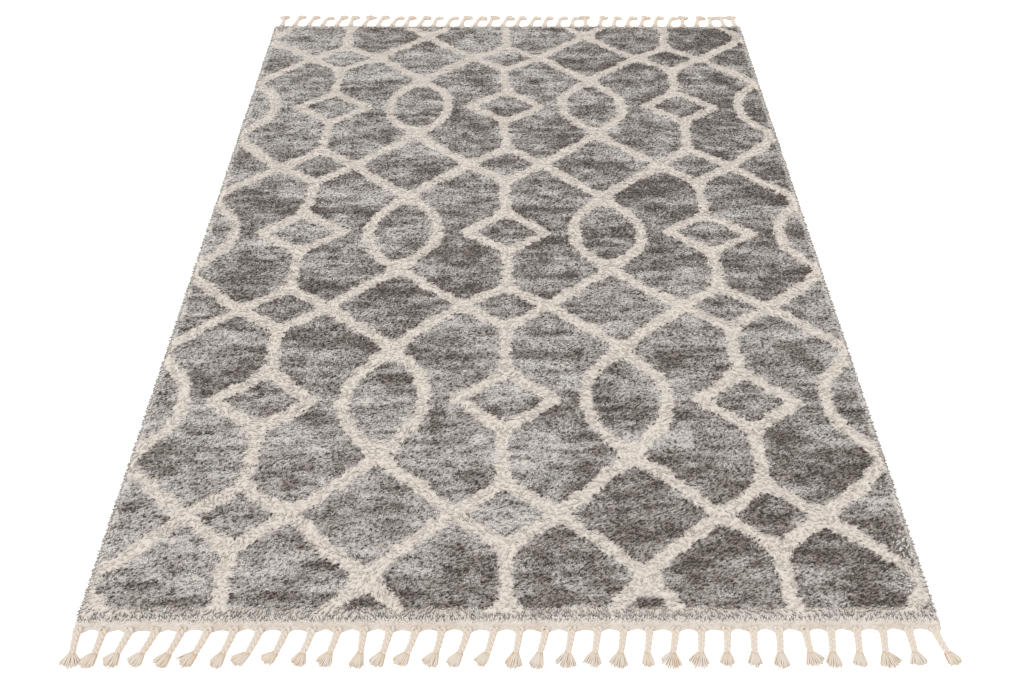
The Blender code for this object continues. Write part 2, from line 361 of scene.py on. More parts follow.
def dye_and_light_field(x, y):
    """Streaks of lighter and darker dye, long across the rug, and a slow drift over all of it.

    The drift, partly painted light, is a paler band on the right of the front half, as a bell
    curve along Y, a paler front end, and a right side that is darker than the left, more so
    towards the back. Thin dark lines across the rug, as in its furrows, are painted shade.
    """
    streaks = layered_noise(x, y, STREAKS)
    clouds = layered_noise(x, y, CLOUDS)
    # painted shade: thin dark lines across the rug, as in the furrows of the pile
    furrow = np.clip(soft_noise(x, y, 0.040, 0.006, 45) * 2.2 - 0.9, 0.0, 1.0)
    bell = np.exp(-((y - LIGHT_BAND_PLACE) / LIGHT_BAND_WIDTH) ** 2)
    light_band = bell * (0.5 + 0.5 * np.tanh(3.0 * x))
    light_end = np.clip(-0.6 - y, 0.0, 0.5) * (0.1 - 0.3 * x)
    drift = -(0.20 + 0.25 * np.clip((y + 0.2) / 0.6, 0.0, 1.0)) * x
    return streaks + clouds - 0.7 * furrow + 0.25 * light_band + light_end + drift


print("dye:", np.round(np.percentile(dye_and_light_field(spot_x, spot_y), (5, 50, 95)), 2))

# %% [markdown]
# Yarn is matt and a little fuzzy, which we show with a high roughness and some sheen. Each tuft
# carries a number, its dye, and a colour ramp turns that into the heathered greys of undyed
# wool. Fine noise along the yarn breaks the colour up, as mixed fibres do. A wool fibre is only
# 0.03 mm thick, far finer than the picture can show, so the fibres and their bump are drawn
# about 1 mm wide. Where locks part, less light gets in, and the wool there looks darker.

# %% Yarn material
PARTING_MM = (9.0, 4.0, 20.0)      # a lock's length, its width, and the pile's depth
PARTING_TURN = np.radians(24.0)    # how far the locks lie from straight across
MILLIMETRES = 1000.0               # in a metre, because Object coordinates are in metres


def yarn_material(name, stops, fleck_colour, fleck_share, fibre_mm=1.1, parting=0.0,
                  softness=0.0, lumpy=False):
    """Sheared wool yarn: a ramp over each tuft's dye, flecks of fibre, and a fibre bump.

    parting is the strength of the painted shade where its locks part: a noise of a lock's size,
    turned to the way the locks lie, whose low values are dark and whose high values stay level.
    softness turns the shading towards straight up. Light goes in among loose fibres and comes
    out evenly, so a deep pile shows less light and shade than its shape alone would give.
    lumpy uses the partings as the bump too, on a surface that has no tufts of its own.
    """
    material, tree, shader = new_material(name, Roughness=0.92, Sheen_Weight=0.25,
                                          Sheen_Roughness=0.5, Specular_IOR_Level=0.2)
    place = add_node(tree, "ShaderNodeTexCoord").outputs["Object"]
    dye = add_node(tree, "ShaderNodeAttribute", attribute_name="dye").outputs["Fac"]
    fibres = add_node(tree, "ShaderNodeTexNoise", {"Scale": MILLIMETRES / (2.0 * fibre_mm),
                                                   "Detail": 2.0, "Roughness": 0.6},
                      {"Vector": place}).outputs["Fac"]
    spread = add_node(tree, "ShaderNodeMapRange", {"From Min": 0.3, "From Max": 0.7,
                                                   "To Min": -0.20, "To Max": 0.20},
                      {"Value": fibres}).outputs["Result"]
    mixed = add_node(tree, "ShaderNodeMath", links={0: dye, 1: spread}, operation="ADD")
    relief = fibres
    if parting:
        turned = add_node(tree, "ShaderNodeMapping",
                          {"Scale": PARTING_MM, "Rotation": (0.0, 0.0, PARTING_TURN)},
                          {"Vector": place}, vector_type="TEXTURE")
        locks = add_node(tree, "ShaderNodeTexNoise", {"Scale": MILLIMETRES, "Detail": 2.0,
                                                      "Roughness": 0.6},
                         {"Vector": turned.outputs["Vector"]}).outputs["Fac"]
        # painted shade where the locks part
        dark = add_node(tree, "ShaderNodeMapRange", {"From Min": 0.34, "From Max": 0.56,
                                                     "To Min": -parting, "To Max": 0.3 * parting},
                        {"Value": locks}).outputs["Result"]
        mixed = add_node(tree, "ShaderNodeMath", links={0: mixed.outputs["Value"], 1: dark},
                         operation="ADD")
        relief = locks if lumpy else fibres
    ramp = add_node(tree, "ShaderNodeValToRGB", links={"Fac": mixed.outputs["Value"]})
    while len(ramp.color_ramp.elements) < len(stops):
        ramp.color_ramp.elements.new(1.0)
    for element, (place_on_ramp, hex_colour) in zip(ramp.color_ramp.elements, stops):
        element.position = place_on_ramp
        element.color = linear(hex_colour)
    fleck = add_node(tree, "ShaderNodeMapRange", {"From Min": 0.62, "From Max": 0.70,
                                                  "To Min": 0.0, "To Max": fleck_share},
                     {"Value": fibres}).outputs["Result"]
    colour = add_node(tree, "ShaderNodeMix", {"B": linear(fleck_colour)},
                      {"Factor": fleck, "A": ramp.outputs["Color"]}, data_type="RGBA")
    surface = add_node(tree, "ShaderNodeNewGeometry").outputs["Normal"]
    eased = add_node(tree, "ShaderNodeMix", {"Factor": softness, "B": (0.0, 0.0, 1.0)},
                     {"A": surface}, data_type="VECTOR").outputs["Result"]
    bump = add_node(tree, "ShaderNodeBump", {"Strength": 0.5,
                                             "Distance": 0.003 if lumpy else 0.0008},
                    {"Height": relief, "Normal": eased})
    tree.links.new(colour.outputs["Result"], shader.inputs["Base Color"])
    tree.links.new(bump.outputs["Normal"], shader.inputs["Normal"])
    return material


# %% [markdown]
# The pile needs two yarns. Each has a ramp of a few colours that were matched to the rug,
# from the hollows to the tips, and they differ most in their partings: dark wool hides the
# light between its locks, and white wool passes it on.

# %% Grey and cream yarn
# Grey and brown fleeces carded together and spun undyed: each tuft has a grey of its own, and
# the partings between the locks are painted shade, nearly black-brown.
GREY_STOPS = ((0.0, "#4a413b"), (0.30, "#898079"), (0.60, "#bdb9b5"), (1.0, "#e0dfde"))
grey_yarn = yarn_material("heathered_grey_wool_yarn", GREY_STOPS, "#e6e3de", 0.20,
                          parting=0.56, softness=0.75)
# White fleece, scoured and not bleached: an even, warm cream with a few tan fibres in it. Light
# goes far into it, so it has hardly any dark partings.
CREAM_STOPS = ((0.0, "#b9aca0"), (0.35, "#c9bfb5"), (0.70, "#d1c9c0"), (1.0, "#d9d3cd"))
cream_yarn = yarn_material("undyed_cream_wool_yarn", CREAM_STOPS, "#cbb196", 0.40,
                           parting=0.08, softness=0.90)
print("yarns:", grey_yarn.name, cream_yarn.name)

# %% [markdown]
# Under the shag is a woven ground, which shows only from below and along the edges. It is the
# one real sheet of cloth in the rug, cut to its full size and laid on the floor. A thin closed
# grid is enough, with the weave in its material: two waves at right angles.

# %% Woven ground
GROUND_TOP = 0.0026


def closed_grid(x_line, y_line, top, bottom):
    """A sheet from two grids of the same outline, top and bottom, joined round their rim."""
    columns, rows = len(x_line), len(y_line)
    x, y = np.meshgrid(x_line, y_line)
    upper = np.stack([x, y, np.broadcast_to(top, x.shape)], axis=-1).reshape(-1, 3)
    lower = np.stack([x, y, np.broadcast_to(bottom, x.shape)], axis=-1).reshape(-1, 3)
    index = np.arange(columns * rows).reshape(rows, columns)
    cells = np.stack([index[:-1, :-1], index[:-1, 1:], index[1:, 1:], index[1:, :-1]], axis=-1)
    cells = cells.reshape(-1, 4)
    rim = np.concatenate([index[0, :-1], index[:-1, -1], index[-1, :0:-1], index[:0:-1, 0]])
    after = np.roll(rim, -1)
    below = columns * rows
    walls = np.stack([rim + below, after + below, after, rim], axis=-1)
    faces = np.concatenate([cells, cells[:, ::-1] + below, walls])
    return np.concatenate([upper, lower]), faces


def weave_material(name, thread_mm, light, dark):
    """Plain-woven cotton: two sine waves at right angles give threads that go over and under.

    The wave node turns through 20 times its scale a metre, so half a wave is one thread.
    """
    material, tree, shader = new_material(name, Roughness=0.9, Sheen_Weight=0.15,
                                          Specular_IOR_Level=0.2)
    place = add_node(tree, "ShaderNodeTexCoord").outputs["Object"]
    waves = [add_node(tree, "ShaderNodeTexWave",
                      {"Scale": MILLIMETRES / thread_mm / 20.0 * np.pi,
                       "Distortion": 0.6, "Detail": 1.0},
                      {"Vector": place}, bands_direction=way).outputs["Fac"]
             for way in ("X", "Y")]
    cloth = add_node(tree, "ShaderNodeMath", links={0: waves[0], 1: waves[1]},
                     operation="MULTIPLY").outputs["Value"]
    colour = add_node(tree, "ShaderNodeMix", {"A": linear(dark), "B": linear(light)},
                      {"Factor": cloth}, data_type="RGBA")
    bump = add_node(tree, "ShaderNodeBump", {"Strength": 0.4, "Distance": 0.0006},
                    {"Height": cloth})
    tree.links.new(colour.outputs["Result"], shader.inputs["Base Color"])
    tree.links.new(bump.outputs["Normal"], shader.inputs["Normal"])
    return material


THREAD_MM = 3.0                    # a real one is about 1 mm, drawn coarser so that it shows
GROUND_LINES = (49, 69)            # of its grid, across and along
GROUND_HALF_WIDTH = round(RUG_HALF_WIDTH - 0.0005, 4)
# Cotton, plain-woven and undyed: matt and beige, with a small regular relief.
ground_cloth = weave_material("plain_woven_cotton_ground", THREAD_MM, "#dcd4c9", "#b8ada0")
ground_points, ground_faces = closed_grid(
    np.linspace(-GROUND_HALF_WIDTH, GROUND_HALF_WIDTH, GROUND_LINES[0]),
    np.linspace(-HALF_LENGTH, HALF_LENGTH, GROUND_LINES[1]), GROUND_TOP, 0.0)
ground = make_piece("woven_ground", ground_points, ground_faces, ground_cloth, "pile")

# %% [markdown]
# Between the tufts the eye sees more yarn, packed and in shade. A closed slab on the ground
# stands for it. Its top follows the height field, and each of its points carries nearly the
# dye of the tufts above it, with painted shade: a little darker, and kept out of the palest
# greys, so that no bright gap shows through the pile. Towards the edge it is painted paler,
# as painted light, like the tufts there.

# %% Packed yarn
BED_CELL = 0.009
BED_MARGIN = 0.0005                # between the ground and the slab
SHOULDER_LINES = np.array([0.0, 0.0025, 0.0055, 0.0100])
BED_CREAM_DYE = 0.95
# the dye that painted light brings the slab's edge to
BED_EDGE_LIGHT_DYE = 0.90


def rug_line(half_size, cell):
    """Grid lines from edge to edge, closer together in the last few millimetres."""
    flat = half_size - SHOULDER
    inner = np.linspace(-flat, flat, int(2.0 * half_size / cell))
    return np.concatenate([-half_size + SHOULDER_LINES, inner, half_size - SHOULDER_LINES[::-1]])


bed_x, bed_y = rug_line(HALF_WIDTH, BED_CELL), rug_line(HALF_LENGTH, BED_CELL)
bed_grid_x, bed_grid_y = np.meshgrid(bed_x, bed_y)
bed_points, bed_faces = closed_grid(bed_x, bed_y, bed_height(bed_grid_x, bed_grid_y),
                                    GROUND_TOP + BED_MARGIN)
bed_cream = creaminess(bed_points[:, 0], bed_points[:, 1])
# painted shade: the slab's grey is a little darker than that of the tufts above it
bed_dye_shade_and_light = 0.38 + 0.34 * dye_and_light_field(bed_points[:, 0], bed_points[:, 1])
bed_edge = edge_distance(bed_points[:, 0], bed_points[:, 1]) / SHOULDER
bed_edge = np.clip(1.0 - bed_edge, 0.0, 1.0)
# painted shade keeps the grey out of the palest greys, and painted light pales the slab towards its
# edge
bed_dye_shade_and_light = np.where(bed_cream, BED_CREAM_DYE, np.clip(bed_dye_shade_and_light, 0.15, 0.68))
bed_dye_shade_and_light = bed_dye_shade_and_light + (BED_EDGE_LIGHT_DYE - bed_dye_shade_and_light) * bed_edge
# The same two wools, pressed together and seen only in gaps, in painted shade: one ramp runs
# from the greys, up to 0.6, on to the creams, and its partings, painted shade too, are also its
# bump, because it has no tufts.
PACKED_STOPS = ((0.0, "#463e39"), (0.30, "#857c75"), (0.58, "#b6b1ad"), (0.70, "#c6bcb2"),
                (1.0, "#d1c9c0"))
packed_yarn = yarn_material("packed_wool_yarn_in_painted_shade", PACKED_STOPS, "#aba59e", 0.2,
                            parting=0.28, softness=0.5, lumpy=True)
bed = make_piece("packed_yarn", bed_points, bed_faces, packed_yarn, "pile",
                 {"dye": bed_dye_shade_and_light})

# %% [markdown]
# Now the shag itself: about ninety-five thousand tufts, each a bent, pointed lock of yarn.
# Rather than a loop over tufts, all of them are one array. The middle line of a tuft rises
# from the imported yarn, bends over along the lean of the pile and droops at its end. One ring
# of three points stands round it at its belly, so a tuft is a closed spindle of six faces.
# That few are enough, because a tuft is only two pixels wide, and it leaves room for many.

# %% Tuft shape
TUFT_BELLY = 0.52                   # where along its length a tuft is thickest
TUFT_RADIUS = 0.0026
TUFT_POINTS, TUFT_FACES = 5, 6


def tuft_line(share, root, way, length, height, curl, drop):
    """Middle line: forward as 0.25t + 0.75t^2, up as 3.3t - 3.1t^2, aside as a half wave.

    The drop is taken off in proportion to t, so that a tuft on the wall hangs down.
    """
    share = share[None, :, None]
    aside = np.stack([-way[:, 1], way[:, 0]], axis=-1)
    flat = (way[:, None] * (0.25 * share + 0.75 * share ** 2)
            + aside[:, None] * curl[:, None, None] * np.sin(np.pi * share) * 0.5)
    up = height[:, None, None] * (3.3 * share - 3.1 * share ** 2) - drop[:, None, None] * share
    return root[:, None] + np.concatenate([flat * length[:, None, None], up], axis=-1)


def tufts(root, way, length, height, curl, drop, thickness):
    """Five points and six faces a tuft: its root, three points round its belly, and its tip.

    The belly's points lie a third of a turn apart: cosine times aside plus sine times above.
    """
    line = tuft_line(np.array([0.0, TUFT_BELLY, 1.0]), root, way, length, height, curl, drop)
    along = line[:, 2] - line[:, 0]
    along /= np.linalg.norm(along, axis=-1, keepdims=True)
    aside = np.cross([0.0, 0.0, 1.0], along)
    aside /= np.linalg.norm(aside, axis=-1, keepdims=True)
    above = np.cross(along, aside)
    turn = np.pi / 2.0 + np.arange(3) * 2.0 * np.pi / 3.0
    spoke = (np.cos(turn)[None, :, None] * aside[:, None]
             + np.sin(turn)[None, :, None] * above[:, None])
    belly = line[:, 1:2] + spoke * (TUFT_RADIUS * thickness)[:, None, None]
    points = np.concatenate([line[:, :1], belly, line[:, 2:]], axis=1)
    ring, after = np.array([1, 2, 3]), np.array([2, 3, 1])
    faces = np.concatenate([np.stack([0 * ring, after, ring], -1),
                            np.stack([ring, after, 0 * ring + 4], -1)])
    faces = faces[None] + TUFT_POINTS * np.arange(len(root))[:, None, None]
    return points.reshape(-1, 3), faces.reshape(-1, 3)


# %% [markdown]
# The knots sit in rows across the rug, a little unevenly. Each tuft then gets its own length,
# curl and dye on top of the fields, from one seeded random generator, so the rug is the same
# every time. Tufts near the outline lean out over it and hide the wall of packed yarn.

# %% Place the tufts
ROW_PITCH = 0.0064
KNOT_PITCH = 0.0060
KNOT_MARGIN = 0.002                 # from the wall to the outermost knots
TUFT_LENGTH = (0.0090, 0.0150)
TUFT_RISE = (0.0020, 0.0042)
TUFT_TURN = 0.55                    # radians, the spread of its way round the lean field
TUFT_CURL = 0.30
OVERHANG = 0.014                    # tufts this near to the edge start to lean over it
TURN_WIDTH = 0.02                   # the corner's width, for the way outwards
chance = np.random.default_rng(2300)


def knots():
    """Rows and knots at their pitches, each moved by up to half a pitch."""
    x = np.arange(-HALF_WIDTH + KNOT_MARGIN, HALF_WIDTH - KNOT_MARGIN, KNOT_PITCH)
    y = np.arange(-HALF_LENGTH + KNOT_MARGIN, HALF_LENGTH - KNOT_MARGIN, ROW_PITCH)
    x, y = (line.ravel() for line in np.meshgrid(x, y))
    x = x + chance.uniform(-0.5, 0.5, x.size) * KNOT_PITCH
    y = y + chance.uniform(-0.5, 0.5, y.size) * ROW_PITCH
    return np.clip(x, -HALF_WIDTH, HALF_WIDTH), np.clip(y, -HALF_LENGTH, HALF_LENGTH)


def outward(x, y):
    """Unit direction towards the nearest edge, turned smoothly round the corners."""
    near_x = np.clip(1.0 - (HALF_WIDTH - np.abs(x)) / TURN_WIDTH, 0.0, 1.0) * np.sign(x)
    near_y = np.clip(1.0 - (HALF_LENGTH - np.abs(y)) / TURN_WIDTH, 0.0, 1.0) * np.sign(y)
    length = np.hypot(near_x, near_y) + 1e-6
    return near_x / length, near_y / length


def place_tufts(x, y):
    """Root, way, length, height, curl and thickness of the tufts at these knots.

    A way is the lean field turned by a random angle, and near an edge a mix of that with the
    way outwards. Tufts there are also shorter, most of all along the two long sides.
    """
    way_x, way_y = lean_field(x, y)
    turn = chance.normal(0.0, TUFT_TURN, x.size)
    way_x, way_y = (way_x * np.cos(turn) - way_y * np.sin(turn),
                    way_x * np.sin(turn) + way_y * np.cos(turn))
    out_x, out_y = outward(x, y)
    rim = np.clip(1.0 - edge_distance(x, y) / OVERHANG, 0.0, 1.0) ** 0.7
    way = np.stack([way_x * (1.0 - rim) + out_x * rim, way_y * (1.0 - rim) + out_y * rim], -1)
    way /= np.linalg.norm(way, axis=-1, keepdims=True) + 1e-9
    shortened = 1.0 - (0.28 + 0.20 * np.abs(out_x)) * rim
    length = chance.uniform(*TUFT_LENGTH, x.size) * shortened
    height = chance.uniform(*TUFT_RISE, x.size)
    curl = chance.normal(0.0, TUFT_CURL, x.size) * (1.0 - 0.6 * rim)
    root = np.stack([x, y, bed_height(x, y) - 0.0015], axis=-1)
    return root, way, length, height, curl, chance.uniform(0.80, 1.25, x.size)


knot_x, knot_y = knots()
root, way, length, height, curl, thickness = place_tufts(knot_x, knot_y)
print("tufts:", knot_x.size, "longest mm:", round(float(length.max()) * 1000.0, 1))

# %% [markdown]
# A tuft's colour is chosen where it is seen, at its belly, so the trellis has clean lines.
# Along the outline the tufts are painted pale, as painted light, more so along the two ends
# and in the front right corner, where cream tufts outnumber the grey ones.

# %% Dye the tufts, with painted light along the edge
EDGE_LIGHT_WIDTH = 0.018
END_LIGHT_REACH = 0.016                    # along the ends, cream tufts take over within this
CORNER_X, CORNER_X_RUN = 0.748, 0.020
CORNER_Y, CORNER_Y_RUN = -0.94, 0.05
seen_x = knot_x + 0.45 * length * way[:, 0]
seen_y = knot_y + 0.45 * length * way[:, 1]
is_cream = creaminess(seen_x, seen_y, chance.normal(0.0, 0.0018, knot_x.size))
height = height * np.where(is_cream, 0.7, 1.0)
# painted light: near the outline and in the front right corner the tufts are paler, and more of
# them are cream
paling = np.clip(1.0 - edge_distance(seen_x, seen_y) / EDGE_LIGHT_WIDTH, 0.0, 1.0)
painted_light_corner = (np.clip((seen_x - CORNER_X) / CORNER_X_RUN, 0.0, 1.0)
               * np.clip((CORNER_Y - seen_y) / CORNER_Y_RUN, 0.0, 1.0))
paling = np.maximum(paling, painted_light_corner)
near_end = np.abs(seen_y) > HALF_LENGTH - END_LIGHT_REACH
is_cream |= chance.random(knot_x.size) < paling * np.where(near_end, 2.0, 0.8)
field = dye_and_light_field(seen_x, seen_y)
tuft_dye_and_light = np.where(is_cream, 0.56 + 0.16 * field, 0.43 + 0.40 * field)
cream_paling = np.where(near_end, 0.16, 0.35)
tuft_dye_and_light = tuft_dye_and_light + np.where(is_cream, cream_paling, 1.25 - tuft_dye_and_light) * paling
tuft_dye_and_light = tuft_dye_and_light + chance.normal(0.0, 1.0, knot_x.size) * np.where(is_cream, 0.05, 0.09)
print("cream share of the tufts:", round(float(is_cream.mean()), 3))

# %% [markdown]
# A mesh of almost six hundred thousand faces is heavy to handle, so the tufts go into a few
# pieces: by colour, and by thirds of the rug from front to back. The root of a tuft is darker
# than its tip, because little light gets down to it.

# %% Build the tufts
ROOT_SHADE = np.array([-0.10, 0.0, 0.0, 0.0, 0.0])     # at the root, the belly and the tip
MOST_DYE = 1.4                      # past 1, so that the partings stay pale where painted light pales the edge


def build_tufts(name, chosen, material):
    """One piece of the chosen tufts. Each point's dye is its tuft's, less the root's shade."""
    points, faces = tufts(root[chosen], way[chosen], length[chosen], height[chosen],
                          curl[chosen], 0.0 * height[chosen], thickness[chosen])
    dye = (tuft_dye_and_light[chosen][:, None] + ROOT_SHADE[None]).ravel()
    return make_piece(name, points, faces, material, "pile",
                      {"dye": np.clip(dye, 0.0, MOST_DYE)})


third = np.clip(((knot_y + HALF_LENGTH) / (2.0 * HALF_LENGTH) * 3.0).astype(int), 0, 2)
pile_pieces = []
for part, where in enumerate(("front", "middle", "back")):
    pile_pieces.append(build_tufts(f"grey_tufts_{where}", ~is_cream & (third == part),
                                   grey_yarn))
    pile_pieces.append(build_tufts(f"cream_tufts_{where}", is_cream & (third == part),
                                   cream_yarn))

# %% [markdown]
# The wall of the pile is tufts too, which point outwards and hang down. Four rows of them go
# round the rug, one above the other. They are made by the same function, on a path that
# runs round the outline.

# %% Rim tufts
RIM_PITCH = 0.0038
RIM_HEIGHTS = (0.0034, 0.0062, 0.0090, 0.0118)         # of the rows along the long sides
RIM_END_LOWEST, RIM_END_STEP = 0.0066, 0.0020          # of the rows at the two ends
RIM_ROWS = len(RIM_HEIGHTS)
RIM_DEPTH = 0.002                                      # roots stand this far inside the wall
RIM_END_OUT = 0.0018                                   # each lower row stands further out
RIM_LENGTH, RIM_END_EXTRA = (0.0036, 0.0056), (0.0015, 0.0050)
FLOOR_MARGIN = 0.0003


def rim_path():
    """Points round the outline at the rim's pitch, each with its direction outwards.

    They run along the front, the back, the left and the right edge, at a constant step.
    """
    x = np.arange(-HALF_WIDTH, HALF_WIDTH, RIM_PITCH)
    y = np.arange(-HALF_LENGTH, HALF_LENGTH, RIM_PITCH)
    ends = [np.stack([x, np.full_like(x, side * HALF_LENGTH), 0 * x, 0 * x + side], -1)
            for side in (-1.0, 1.0)]
    sides = [np.stack([np.full_like(y, side * HALF_WIDTH), y, 0 * y + side, 0 * y], -1)
             for side in (-1.0, 1.0)]
    return np.concatenate(ends + sides)


def rim_tufts():
    """Rows of short tufts round the wall, each row a step above the last.

    Along the two long sides the rows hang down to the floor. At the two ends the lower a row
    is, the further out it stands, so they lie down over the strip and hide where it starts. A
    way is the direction outwards turned by a random angle.
    """
    path = np.concatenate([np.column_stack([rim_path(), np.full(len(rim_path()), row)])
                           for row in range(RIM_ROWS)])
    count = len(path)
    x, y, out_x, out_y = path[:, :4].T
    row = path[:, 4].astype(int)
    at_end = np.abs(out_y)
    slide = chance.uniform(-0.5, 0.5, count) * RIM_PITCH
    x, y = x + slide * at_end, y + slide * np.abs(out_x)
    turn = chance.normal(0.0, 0.5, count)
    way = np.stack([out_x * np.cos(turn) - out_y * np.sin(turn),
                    out_x * np.sin(turn) + out_y * np.cos(turn)], axis=-1)
    level = np.where(at_end > 0.0, RIM_END_LOWEST + RIM_END_STEP * row,
                     np.array(RIM_HEIGHTS)[row])
    step = -RIM_DEPTH + at_end * RIM_END_OUT * (RIM_ROWS - 1 - row)
    root = np.stack([x + step * out_x, y + step * out_y, level], axis=-1)
    length = chance.uniform(*RIM_LENGTH, count)
    length = length + chance.uniform(*RIM_END_EXTRA, count) * at_end
    height = chance.uniform(0.0002, 0.0012, count)
    drop = chance.uniform(0.0010, 0.0030, count) + 0.0020 * at_end
    curl = chance.normal(0.0, 0.5, count)
    points, faces = tufts(root, way, length, height, curl, drop,
                          chance.uniform(0.9, 1.2, count))
    points[:, 2] = np.maximum(points[:, 2], FLOOR_MARGIN)    # the lowest ones rest on the floor
    return x, y, row, points, faces


rim_x, rim_y, rim_row, rim_points, rim_faces = rim_tufts()
at_end = np.abs(rim_y) > HALF_LENGTH - 0.001
# painted light: along the edge more tufts are cream, most in the lowest rows at the ends, and the
# grey ones are far paler than the pile's
rim_cream = creaminess(rim_x, rim_y, 0.004)
rim_cream |= chance.random(rim_x.size) < np.where(at_end, 0.96 - 0.13 * rim_row, 0.50)
grey_rim_tone_and_light = np.where(at_end, 0.78, 0.92) + 0.08 * dye_and_light_field(rim_x, rim_y)
rim_tone_and_light = np.where(rim_cream, 0.90, grey_rim_tone_and_light)
rim_tone_and_light = rim_tone_and_light + chance.normal(0.0, 0.07, rim_x.size)

# %% [markdown]
# Along the edge the two yarns are the pile's, painted paler as painted light and with next to
# no partings, so that the edge shows as a pale fuzz. They are shaded by their true shape,
# because on the wall no light comes from straight above.

# %% Dye, with painted light, and build the rim tufts
# painted light: paler ramps than the pile's, with next to no partings
grey_edge_yarn = yarn_material("grey_wool_yarn_in_painted_light", ((0.0, "#a39b94"), (0.5, "#c5beb8"),
                                                       (1.0, "#e8e4e0")), "#e6e3de", 0.2,
                               parting=0.08, softness=0.1)
cream_edge_yarn = yarn_material("cream_wool_yarn_in_painted_light", ((0.0, "#cbc1b6"), (0.5, "#dbd2c9"),
                                                         (1.0, "#e4ded7")), "#d9c7b2", 0.2,
                                parting=0.05, softness=0.1)
for name, chosen, material in (("grey_rim_tufts", ~rim_cream, grey_edge_yarn),
                               ("cream_rim_tufts", rim_cream, cream_edge_yarn)):
    kept = np.repeat(chosen, TUFT_FACES)
    used = np.repeat(chosen, TUFT_POINTS)
    renumber = np.cumsum(used) - 1
    dye = (rim_tone_and_light[:, None] + ROOT_SHADE[None]).ravel()[used]
    pile_pieces.append(make_piece(name, rim_points[used], renumber[rim_faces[kept]], material,
                                  "pile", {"dye": np.clip(dye, 0.0, 1.0)}))

# %% [markdown]
# Each end of the rug runs out into a narrow woven strip, and the warp threads beyond it are
# plaited into tassels. The strip's free edge is drawn out where a tassel pulls on it, which
# gives it shallow arches. The tassels have the same places as in the frame's solids: a first
# root, a pitch, a usual lean with a little scatter, and a few that lie differently. A lean is
# how far aside the middle of a tassel's brush lies, and a turn is how far the brush is swept
# round, in radians. The odd ones are given by the tassel's number, counted from the left.

# %% Where the tassels are
TASSELS = 34
ROOT_PITCH = 0.0478
STRIP_AT_ROOT = 0.0235              # from the pile to where a plait leaves the strip
STRIP_BETWEEN = 0.0216
STRIP_WEB = 0.0308                  # the cloth drawn out under the root of a plait
BRAID_LENGTH = 0.046
HEAD_LENGTH = 0.031
HEAD_MIDDLE = BRAID_LENGTH + 0.5 * HEAD_LENGTH
LEAN_POWER = 1.35
LEAN_WOBBLE = 0.0045
FRONT_END = {"name": "fringe_front", "outward": -1.0, "first_root": -0.7920, "lean": -0.0205,
             "lean_change": 0.0004, "seed": 143, "turn": -0.38, "turn_change": 0.018,
             "odd_roots": {}, "odd_turns": {0: -0.10},
             "odd_leans": {0: 0.006, 1: -0.004, 11: -0.002, 12: -0.013, 28: 0.001, 32: -0.001,
                           33: 0.014}}
BACK_END = {"name": "fringe_back", "outward": 1.0, "first_root": -0.7820, "lean": 0.0140,
            "lean_change": 0.0, "seed": 47, "turn": 0.45, "turn_change": 0.0,
            "odd_turns": {0: 0.0, 6: 0.05, 22: 0.1, 29: 0.15, 32: -0.15, 33: -0.05},
            "odd_roots": {0: 0.004, 32: -0.002, 33: -0.011},
            "odd_leans": {0: -0.001, 5: 0.003, 22: -0.002, 29: 0.006, 31: 0.006, 32: -0.003,
                          33: -0.004}}


def scatter(index, seed):
    """A fixed, uneven value from -1 to 1: the fraction left over of a large sine."""
    return 2.0 * ((np.sin(12.9898 * index + 78.233 * seed) * 43758.5453) % 1.0) - 1.0


def tassel_places(end):
    """Root and lean of every tassel of one end."""
    index = np.arange(TASSELS)
    root = end["first_root"] + ROOT_PITCH * index
    lean = end["lean"] + end["lean_change"] * index + LEAN_WOBBLE * scatter(index, end["seed"])
    for place, shift in end["odd_roots"].items():
        root[place] += shift
    for place, value in end["odd_leans"].items():
        lean[place] = value
    return root, lean


front_root, _ = tassel_places(FRONT_END)
print("tassels an end:", TASSELS, "front roots from", round(float(front_root[0]), 3),
      "to", round(float(front_root[-1]), 3))

# %% [markdown]
# The fringe is natural cotton, spun thicker than the pile and warmer in colour. Its material is
# the pile's, with finer fibres and its own ramp from tan to pale, used as painted shade: tan in
# the hollows and low down, pale on top. The fibres are drawn 0.8 mm wide, because a cotton
# fibre of 0.02 mm wouldn't show.

# %% Cotton materials
COTTON_FIBRE_MM = 0.8
# Cotton twisted into a smooth cord, matt: pale on top and tan where two cords press together, which
# is painted shade.
COTTON_STOPS = ((0.0, "#93704f"), (0.30, "#c9ad8e"), (0.60, "#cfc1b0"), (1.0, "#d4cdc6"))
cotton_yarn = yarn_material("spun_natural_cotton_yarn", COTTON_STOPS, "#c5aa8b", 0.30,
                            COTTON_FIBRE_MM)
# The same cotton, woven tight and beaten flat: greyer, with soft dark dents of painted shade and
# few flecks.
STRIP_STOPS = ((0.0, "#a18c77"), (0.4, "#bfb2a4"), (0.7, "#c9c0b6"), (1.0, "#d5cec6"))
strip_cotton = yarn_material("plain_woven_cotton_strip", STRIP_STOPS, "#c0a68a", 0.3,
                             COTTON_FIBRE_MM, parting=0.26, softness=0.4)
# Thin cotton, tan and hard-twisted: a small brown dot against the pale plait.
THREAD_STOPS = ((0.0, "#a98b6c"), (0.5, "#c2a688"), (1.0, "#d6c2aa"))
tan_thread = yarn_material("tan_cotton_thread", THREAD_STOPS, "#a98b6c", 0.3, 0.6)
print("cottons:", cotton_yarn.name, strip_cotton.name, tan_thread.name)

# %% [markdown]
# The strip is plain-woven, a few millimetres thick, with a rolled edge. It is a grid too: one
# side of the grid runs across the rug, and the other goes once round the strip's section, over
# the top, round the free edge and back underneath. Its depth and height waver a little,
# because cloth that tassels pull on doesn't stay straight.

